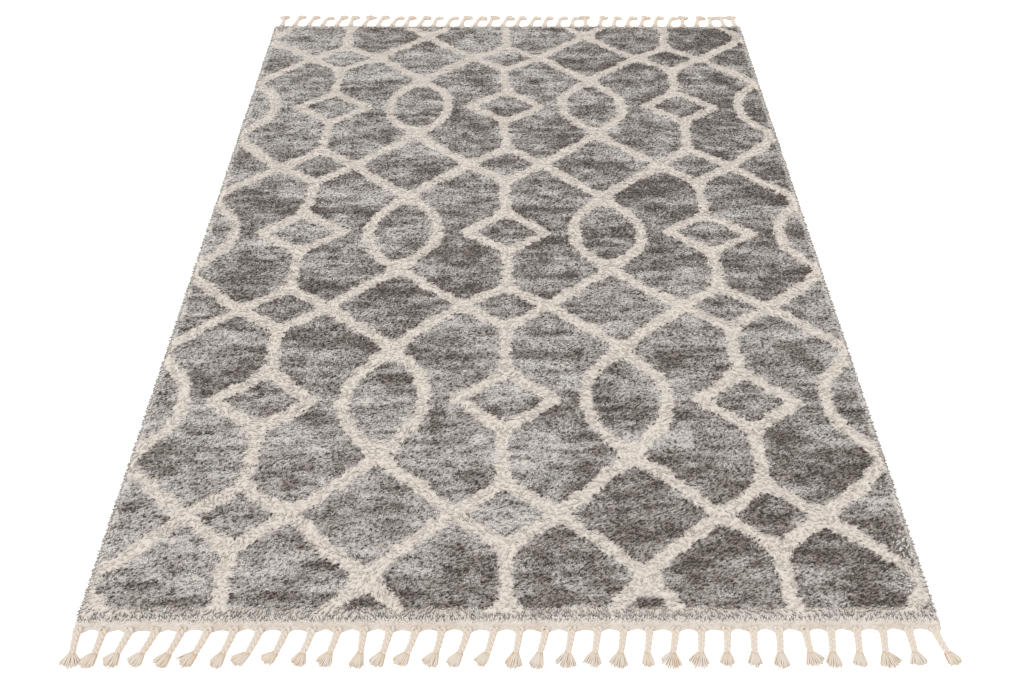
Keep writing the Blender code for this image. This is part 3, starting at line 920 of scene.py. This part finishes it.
# %% Strip
STRIP_SECTION = np.array([             # depth from 0 to 1, then height in millimetres
    (0.00, 0.3), (0.00, 9.0), (0.14, 7.0), (0.32, 4.8), (0.56, 3.5), (0.82, 3.4),
    (0.94, 3.4), (1.00, 2.4), (1.00, 1.2), (0.95, 0.2), (0.60, 0.0), (0.30, 0.0)])
STRIP_STATIONS = TASSELS * 14 + 1
PULL_POWER = 1.6


def strip_depth(x, root):
    """Depth of the strip: shallow between two roots, drawn out as a 1.6 power to each."""
    edges = np.concatenate([[root[0] - ROOT_PITCH], root, [root[-1] + ROOT_PITCH]])
    place = np.clip(np.searchsorted(edges, x) - 1, 0, len(edges) - 2)
    share = (x - edges[place]) / (edges[place + 1] - edges[place])
    pull = np.abs(2.0 * share - 1.0) ** PULL_POWER
    return STRIP_BETWEEN + (STRIP_WEB - STRIP_BETWEEN) * pull


def make_strip(end):
    """The section carried across the rug: at each x, its depths times the strip's own depth.

    Both ends of the tube are closed by a ladder of faces from one side of the section to the
    other. Its dye is a little paler near the pile, painted light against the shade the pile
    casts there, plus a soft noise across the rug.
    """
    root, _ = tassel_places(end)
    x = np.linspace(-GROUND_HALF_WIDTH, GROUND_HALF_WIDTH, STRIP_STATIONS)
    depth = strip_depth(x, root) + 0.0014 * soft_noise(x, 0 * x, 0.012, 0.1, end["seed"])
    ripple = 1.0 + 0.10 * soft_noise(x, 0 * x, 0.006, 0.1, end["seed"] + 1)
    share, height = STRIP_SECTION[:, 0], STRIP_SECTION[:, 1] / 1000.0
    y = end["outward"] * (STRIP_INNER + share[None] * depth[:, None])
    z = height[None] * ripple[:, None]
    points = np.stack([np.broadcast_to(x[:, None], y.shape), y, z], axis=-1).reshape(-1, 3)
    around = len(STRIP_SECTION)
    ring = np.arange(around)
    after = (ring + 1) % around
    band = np.stack([ring, after, after + around, ring + around], -1)
    faces = (band[None] + around * np.arange(len(x) - 1)[:, None, None]).reshape(-1, 4)
    last = around * (len(x) - 1)
    ladder = np.array([[k, around - 1 - k, around - 2 - k, k + 1]
                       for k in range(around // 2 - 1)])
    faces = np.concatenate([faces, ladder, ladder[:, ::-1] + last])
    if end["outward"] > 0.0:
        faces = faces[:, ::-1]
    # painted light: paler on the part of the section next to the pile, against the pile's shade
    dye = 0.66 + 0.16 * (share < 0.4)
    dye = dye[None] + 0.12 * soft_noise(x, 0 * x, 0.02, 0.1, end["seed"] + 2)[:, None]
    return make_piece(end["name"] + "_strip", points, faces, strip_cotton, end["name"],
                      {"dye": np.clip(dye, 0.0, 1.0).ravel()})


fringe_pieces = [make_strip(end) for end in (FRONT_END, BACK_END)]

# %% [markdown]
# Everything in a tassel is yarn that follows a path, so one function carries a ring of points
# along many paths at once. The ring stands square to the path, and its two ends are closed.

# %% Yarn along paths
def yarns(line, radius, sides):
    """Rings round each path (paths, stations, 3): cosine times aside plus sine times above."""
    paths, stations = line.shape[:2]
    along = np.gradient(line, axis=1)
    along /= np.linalg.norm(along, axis=-1, keepdims=True)
    aside = np.cross(along, np.array([0.0, 0.0, 1.0]))
    aside /= np.linalg.norm(aside, axis=-1, keepdims=True)
    above = np.cross(aside, along)
    turn = np.pi / sides + np.arange(sides) * 2.0 * np.pi / sides
    spoke = (np.cos(turn)[:, None] * aside[:, :, None]
             + np.sin(turn)[:, None] * above[:, :, None])
    points = line[:, :, None] + spoke * radius[:, :, None, None]
    ring = np.arange(sides)
    after = (ring + 1) % sides
    band = np.stack([ring, ring + sides, after + sides, after], -1)
    bands = (band[None] + sides * np.arange(stations - 1)[:, None, None]).reshape(-1, 4)
    cap = np.array([[0, k, k + 1, k + 2] for k in range(1, sides - 2, 2)])
    faces = np.concatenate([bands, cap, cap[:, ::-1] + sides * (stations - 1)])
    faces = faces[None] + sides * stations * np.arange(paths)[:, None, None]
    return points.reshape(-1, 3), faces.reshape(-1, 4)


def tassel_frame(end, root, lean, reach):
    """Middle, forward and across directions of each tassel at each reach (tassels, reaches).

    A tassel runs aside by its lean times the 1.35 power of its reach over the head's middle.
    Forward is that curve's slope, and across is forward turned by a right angle.
    """
    share = np.maximum(reach, 0.0)[None] / HEAD_MIDDLE
    base_y = end["outward"] * (STRIP_INNER + STRIP_AT_ROOT)
    x = root[:, None] + lean[:, None] * share ** LEAN_POWER
    y = base_y + end["outward"] * np.broadcast_to(reach[None], x.shape)
    slope = lean[:, None] * LEAN_POWER * share ** (LEAN_POWER - 1.0) / HEAD_MIDDLE
    forward = np.stack([slope, np.full_like(slope, end["outward"])], axis=-1)
    forward /= np.linalg.norm(forward, axis=-1, keepdims=True)
    across = np.stack([forward[..., 1], -forward[..., 0]], axis=-1) * end["outward"]
    return np.stack([x, y], axis=-1), forward, across


# %% [markdown]
# A plait of three strands has a simple formula. Each strand swings from side to side as a sine
# wave, a third of a turn behind the last, and rises and falls twice as fast, so that it goes
# over one neighbour and under the other. At its root the strands spread into the strip.

# %% Plaits
PLAIT_TURN = 0.0300               # length in which a strand comes back to the same side
PLAIT_SWING = 0.0042
PLAIT_RISE = 0.0012
PLAIT_STRANDS = 3
PLAIT_STATIONS = 25
PLAIT_SIDES = 6
PLAIT_TUCK = 0.0045               # how far its strands start inside the strip
STRAND_RADIUS = 0.0035


def make_plaits(end):
    """Strands along tassels: aside as the sine of an angle, up as the sine of its double.

    The angle grows by a full turn every 30 mm. The swing is widest at the root, where it falls
    off as an exponential, and narrows evenly to the neck, as the strands' radius does.
    """
    root, lean = tassel_places(end)
    reach = np.linspace(-PLAIT_TUCK, BRAID_LENGTH + 0.003, PLAIT_STATIONS)
    middle, _, across = tassel_frame(end, root, lean, reach)
    phase = np.arange(PLAIT_STRANDS) * 2.0 * np.pi / PLAIT_STRANDS
    start = scatter(np.arange(TASSELS), end["seed"] + 5)[:, None, None] * np.pi
    angle = start + phase[None, :, None] + 2.0 * np.pi * reach[None, None] / PLAIT_TURN
    spread = 1.0 + 0.55 * np.exp(-np.maximum(reach, 0.0) / 0.005) - 0.20 * reach / BRAID_LENGTH
    swing = PLAIT_SWING * spread[None, None] * np.sin(angle)
    flat = middle[:, None] + across[:, None] * swing[..., None]
    level = STRAND_RADIUS + PLAIT_RISE + 0.0002      # just clear of the floor
    height = level + PLAIT_RISE * np.sin(2.0 * angle)
    line = np.concatenate([flat, height[..., None]], axis=-1)
    count = TASSELS * PLAIT_STRANDS
    radius = STRAND_RADIUS * (1.0 - 0.14 * reach / BRAID_LENGTH)
    radius = np.broadcast_to(radius[None], (count, len(reach)))
    points, faces = yarns(line.reshape(count, len(reach), 3), radius, PLAIT_SIDES)
    # painted shade: a strand's dye grows with its height, tan low down and pale on top
    depth = np.clip(points[:, 2] / (2.0 * level), 0.0, 1.0)
    tone = np.repeat(chance.normal(0.0, 0.05, count), PLAIT_SIDES * len(reach))
    return make_piece(end["name"] + "_plaits", points, faces, cotton_yarn, end["name"],
                      {"dye": np.clip(0.43 + 0.38 * depth + tone, 0.0, 1.0)})


fringe_pieces += [make_plaits(end) for end in (FRONT_END, BACK_END)]

# %% [markdown]
# Below the plait its yarns are loose and open into a brush. They leave the neck side by side,
# turn out into a fan and settle on the floor in two layers. The brushes don't lie straight:
# those at each end are swept the same way, more or less.

# %% The fan of a brush
BRUSH_YARNS = (11, 9)                  # in the layer on the floor, and in the one on top
BRUSH_FAN = 0.60                       # radians from the middle to the side
BRUSH_NECK = 0.0048
BRUSH_RADIUS = 0.00185
BRUSH_RISE = 0.0055                    # height of the topmost yarn, for the painted shade by height
BRUSH_SIDES = 4
BRUSH_THINNING = np.array([0.75, 0.85, 0.95, 1.0, 1.0, 0.72])     # from the neck to the tip
BRUSH_SHADE = np.array([-0.28, -0.16, -0.06, -0.02, 0.0, 0.03])   # darker in at the neck
BRUSH_STATIONS = len(BRUSH_THINNING)


def brush_fan(end, place):
    """Angle and length of each yarn (tassels, yarns), from its place in the fan, -1 to 1.

    An angle is the brush's own turn plus the place times the fan's half width. A length is the
    head's, trimmed a little differently on each brush, and shorter at the sides as a square.
    """
    size = (TASSELS, len(place))
    tassel = np.arange(TASSELS)
    turn = end["turn"] + end["turn_change"] * tassel + 0.26 * scatter(tassel, end["seed"] + 9)
    width = 0.86 + 0.26 * scatter(tassel, end["seed"] + 10)
    for odd, value in end["odd_turns"].items():
        turn[odd], width[odd] = value, 1.20
    angle = turn[:, None] + BRUSH_FAN * width[:, None] * (place[None]
                                                          + chance.normal(0.0, 0.045, size))
    trim = 0.0030 * scatter(tassel, end["seed"] + 11)
    length = (HEAD_LENGTH - 0.0030 + trim[:, None] - 0.0050 * place[None] ** 2
              + chance.normal(0.0, 0.0017, size))
    return angle, length


# %% [markdown]
# A yarn of the brush is a path whose direction turns: it leaves the neck straight on, turns
# out fast to its place in the fan, and comes back a little at the tip. Adding up short steps
# in that direction gives the path, which is easier than a formula for the path itself.

# %% Brushes
def make_brushes(end):
    """Paths from the neck: steps of the sine and cosine of each yarn's angle, added up.

    The height falls from the neck as a 1.6 power and is domed over the middle of the fan, as a
    half circle, and the upper layer rides on the lower one.
    """
    root, lean = tassel_places(end)
    start = np.array([BRAID_LENGTH + 0.001])
    middle, forward, across = (part[:, 0] for part in tassel_frame(end, root, lean, start))
    place = np.concatenate([np.linspace(-1.0, 1.0, n) * (1.0 - 0.10 * k)
                            for k, n in enumerate(BRUSH_YARNS)])
    layer = np.repeat([0.0, 1.0], BRUSH_YARNS)
    angle, length = brush_fan(end, place)
    share = np.linspace(0.0, 1.0, BRUSH_STATIONS)
    out = angle[..., None] * (1.25 - 0.35 * share) * np.minimum(share * 6.0, 1.0)
    step = length[..., None] * np.diff(share, prepend=0.0)
    sideways = np.cumsum(np.sin(out) * step, axis=-1)
    ahead = np.cumsum(np.cos(out) * step, axis=-1)
    sideways = sideways + BRUSH_NECK * place[None, :, None] * (1.0 - 0.3 * share)
    flat = (middle[:, None, None] + forward[:, None, None] * ahead[..., None]
            + across[:, None, None] * sideways[..., None])
    settle = (1.0 - share) ** 1.6
    dome = np.sqrt(np.clip(1.0 - place ** 2, 0.0, 1.0))[None, :, None]
    height = (BRUSH_RADIUS + 0.0014 * settle + 0.0012 * settle * dome
              + layer[None, :, None] * (0.0019 + 0.0008 * dome * np.sin(np.pi * share)))
    line = np.concatenate([flat, np.broadcast_to(height, flat.shape[:-1])[..., None]], axis=-1)
    count = TASSELS * len(place)
    radius = np.broadcast_to((BRUSH_RADIUS * BRUSH_THINNING)[None], (count, BRUSH_STATIONS))
    points, faces = yarns(line.reshape(count, BRUSH_STATIONS, 3), radius, BRUSH_SIDES)
    # painted shade: a yarn's dye grows with its height, and BRUSH_SHADE darkens it in at the neck
    depth = np.clip(points[:, 2] / BRUSH_RISE, 0.0, 1.0)
    tone = np.repeat(chance.normal(0.0, 0.11, count), BRUSH_SIDES * BRUSH_STATIONS)
    near_neck = np.tile(np.repeat(BRUSH_SHADE, BRUSH_SIDES), count)
    dye = np.clip(0.42 + 0.32 * depth + tone + near_neck, 0.0, 1.0)
    return make_piece(end["name"] + "_brushes", points, faces, cotton_yarn, end["name"],
                      {"dye": dye})


fringe_pieces += [make_brushes(end) for end in (FRONT_END, BACK_END)]

# %% [markdown]
# Two turns of tan thread bind the roots of about half of the plaits, where they leave the
# strip. They go over the plait and down its left side. They are small, but they show as a row
# of brown dots along the edge.

# %% Binding threads
BINDING_REACHES = (0.0005, 0.0026)         # of its two turns, from the strip's edge
BINDING_ARC = (75.0, 215.0)                # degrees round the plait, from its right side
BINDING_STATIONS = 6
BINDING_SIDES = 4
BINDING_WIDTH, BINDING_HEIGHT = 0.0068, 0.0038     # half the ellipse's width and height
BINDING_LEVEL, BINDING_LEAST = 0.0040, 0.0010      # of its middle, and of its lowest point
BINDING_RADIUS = 0.0009
BINDING_SHIFT = 0.0008


def make_bindings(end):
    """Part of an ellipse over the plait: half widths times the cosine and the sine of a turn."""
    bound = scatter(np.arange(TASSELS), end["seed"] + 21) > -0.1
    root, lean = (values[bound] for values in tassel_places(end))
    turn = np.linspace(*np.radians(BINDING_ARC), BINDING_STATIONS)
    turns = []
    for reach in BINDING_REACHES:
        middle, forward, across = (part[:, 0] for part in
                                   tassel_frame(end, root, lean, np.array([reach])))
        aside = BINDING_WIDTH * np.cos(turn)[None, :, None] - BINDING_SHIFT
        flat = middle[:, None] + across[:, None] * aside
        height = BINDING_LEVEL + BINDING_HEIGHT * np.sin(turn)
        height = np.broadcast_to(np.maximum(height, BINDING_LEAST), flat.shape[:-1])
        turns.append(np.concatenate([flat, height[..., None]], axis=-1))
    line = np.concatenate(turns)
    radius = np.full(line.shape[:2], BINDING_RADIUS)
    points, faces = yarns(line, radius, BINDING_SIDES)
    tone = np.tile(scatter(np.arange(len(root)), end["seed"] + 12), len(BINDING_REACHES))
    dye = 0.50 + 0.35 * np.repeat(tone, BINDING_STATIONS * BINDING_SIDES)
    return make_piece(end["name"] + "_bindings", points, faces, tan_thread, end["name"],
                      {"dye": dye})


fringe_pieces += [make_bindings(end) for end in (FRONT_END, BACK_END)]

# %% [markdown]
# The ground is a sheet, and all the rest is sewn, knotted or plaited onto it. Its size is
# that of the pile, because the ground ends where the strips begin.

# %% [markdown]
# The studio is plain. A white floor and a white sky give soft light, and one wide lamp, high at
# the front and to the left, shows the relief of the pile. The floor also gives a little light
# of its own, so the rug leaves no shadow on it and it goes as clean as the photograph's.

# %% Floor and light
FLOOR_HALF = 40.0
FLOOR_GLOW = 0.35
WHITE = (1.0, 1.0, 1.0, 1.0)


def make_floor():
    """One square face at Z = 0, so wide that its edge is never in the picture."""
    near, far = -FLOOR_HALF, FLOOR_HALF
    floor = bpy.data.meshes.new("floor")
    floor.from_pydata([(near, near, 0.0), (far, near, 0.0), (far, far, 0.0), (near, far, 0.0)],
                      [], [(0, 1, 2, 3)])
    # Painted board under strong light: matt and even, with no shadow that the eye can find.
    material, _, shader = new_material("matt_white_floor", Roughness=0.9,
                                       Emission_Strength=FLOOR_GLOW)
    shader.inputs["Base Color"].default_value = linear("#f7f7f7")
    shader.inputs["Emission Color"].default_value = WHITE
    floor.materials.append(material)
    floor_object = bpy.data.objects.new("floor", floor)
    bpy.context.scene.collection.objects.link(floor_object)


def make_lamp(name, place, width, strength):
    """A sun as wide as a studio's soft box, so that every part of the rug gets the same light."""
    data = bpy.data.lights.new(name, "SUN")
    data.angle = np.radians(width)
    data.energy = strength
    lamp = bpy.data.objects.new(name, data)
    facing = (-Vector(place)).to_track_quat("-Z", "Y")
    lamp.matrix_world = Matrix.Translation(place) @ facing.to_matrix().to_4x4()
    bpy.context.scene.collection.objects.link(lamp)


make_floor()
world = bpy.data.worlds.new("white_studio")
world.use_nodes = True
sky = world.node_tree.nodes["Background"]
sky.inputs["Color"].default_value = WHITE
sky.inputs["Strength"].default_value = 1.0
bpy.context.scene.world = world
make_lamp("soft_box", (-1.2, -1.1, 2.8), 40.0, 1.3)
bpy.context.scene.view_settings.view_transform = "Standard"
bpy.context.scene.view_settings.look = "None"
print("floor, sky and one lamp")

# %% [markdown]
# Last, the pieces are counted, with their triangles. The finished rug must fill the same box
# as the frame's solids.

# %% Finish
bpy.context.view_layer.update()
own = [ground, bed] + pile_pieces + fringe_pieces
print("pieces:", len(own), "triangles:",
      sum(len(piece.data.loops) - 2 * len(piece.data.polygons) for piece in own))
